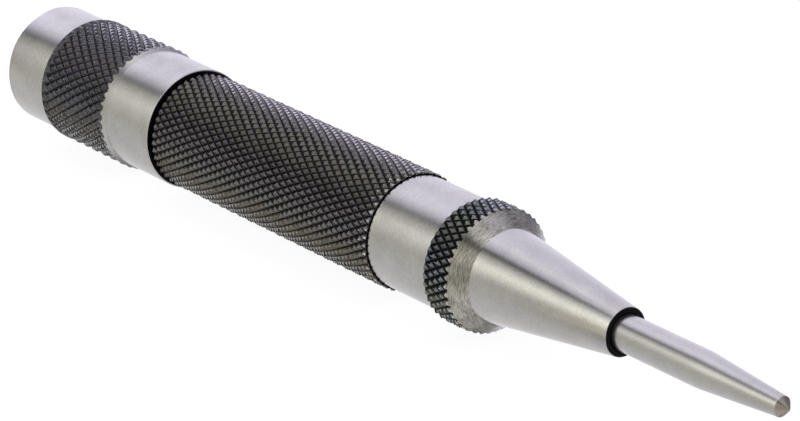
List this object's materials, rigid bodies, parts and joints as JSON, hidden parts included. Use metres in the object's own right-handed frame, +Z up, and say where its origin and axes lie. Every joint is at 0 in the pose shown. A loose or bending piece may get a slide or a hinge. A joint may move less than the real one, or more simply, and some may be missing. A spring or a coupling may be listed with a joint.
{
  "type": "automatic center punch",
  "caption": "Spring-driven center punch with a knurled barrel, screw-on adjusting cap, conical nose and ground point; pressing the point lifts and releases a hammer inside.",
  "frame": {"origin": "halfway along the tool, at the level of the surface that it lies on", "axes": "+X along the tool from the cap to the point, +Z up, the tool's axis level"},
  "size_m": [0.127, 0.0148, 0.0148],
  "materials": {
    "bright_steel": "satin, ground round the axis",
    "blackened_steel": "black oxide on a diamond knurl, bright front band",
    "plain_steel": "machined",
    "spring_steel": "drawn wire"
  },
  "bodies": {
    "barrel": {"barrel": "blackened_steel", "nose_piece": "bright_steel"},
    "punch": {"punch_point": "bright_steel", "plunger": "plain_steel", "trip_pin": "plain_steel", "return_spring": "spring_steel"},
    "hammer": {"hammer": "plain_steel", "trip_spring": "spring_steel"},
    "trip": {"trip_block": "plain_steel"},
    "seat": {"spring_seat": "plain_steel", "main_spring": "spring_steel"},
    "cap": {"adjusting_cap": "bright_steel"}
  },
  "joints": [
    {"name": "punch_press", "type": "slide", "parent": "barrel", "child": "punch", "axis": [-1, 0, 0], "range_m": [0, 0.01], "stiffness_N_per_m": 1500, "springref_m": -0.01},
    {"name": "hammer_lift", "type": "slide", "parent": "barrel", "child": "hammer", "axis": [-1, 0, 0], "range_m": [0, 0.01], "deforming": ["main_spring"]},
    {"name": "trip_shift", "type": "slide", "parent": "hammer", "child": "trip", "axis": [0, -1, 0], "range_m": [0, 0.001], "deforming": ["trip_spring"]},
    {"name": "cap_advance", "type": "slide", "parent": "barrel", "child": "seat", "axis": [-1, 0, 0], "range_m": [-0.00023, 0.00544]},
    {"name": "cap_turn", "type": "hinge", "parent": "seat", "child": "cap", "pos_m": [-0.0492, 0, 0.00742], "axis": [-1, 0, 0], "range_deg": [-90, 2160]}
  ],
  "couplings": [
    {"joint": "hammer_lift", "follows": "punch_press", "ratio": 1},
    {"joint": "trip_shift", "follows": "punch_press", "ratio": 0.1},
    {"joint": "cap_turn", "follows": "cap_advance", "rad_per_m": 6926.3}
  ]
}
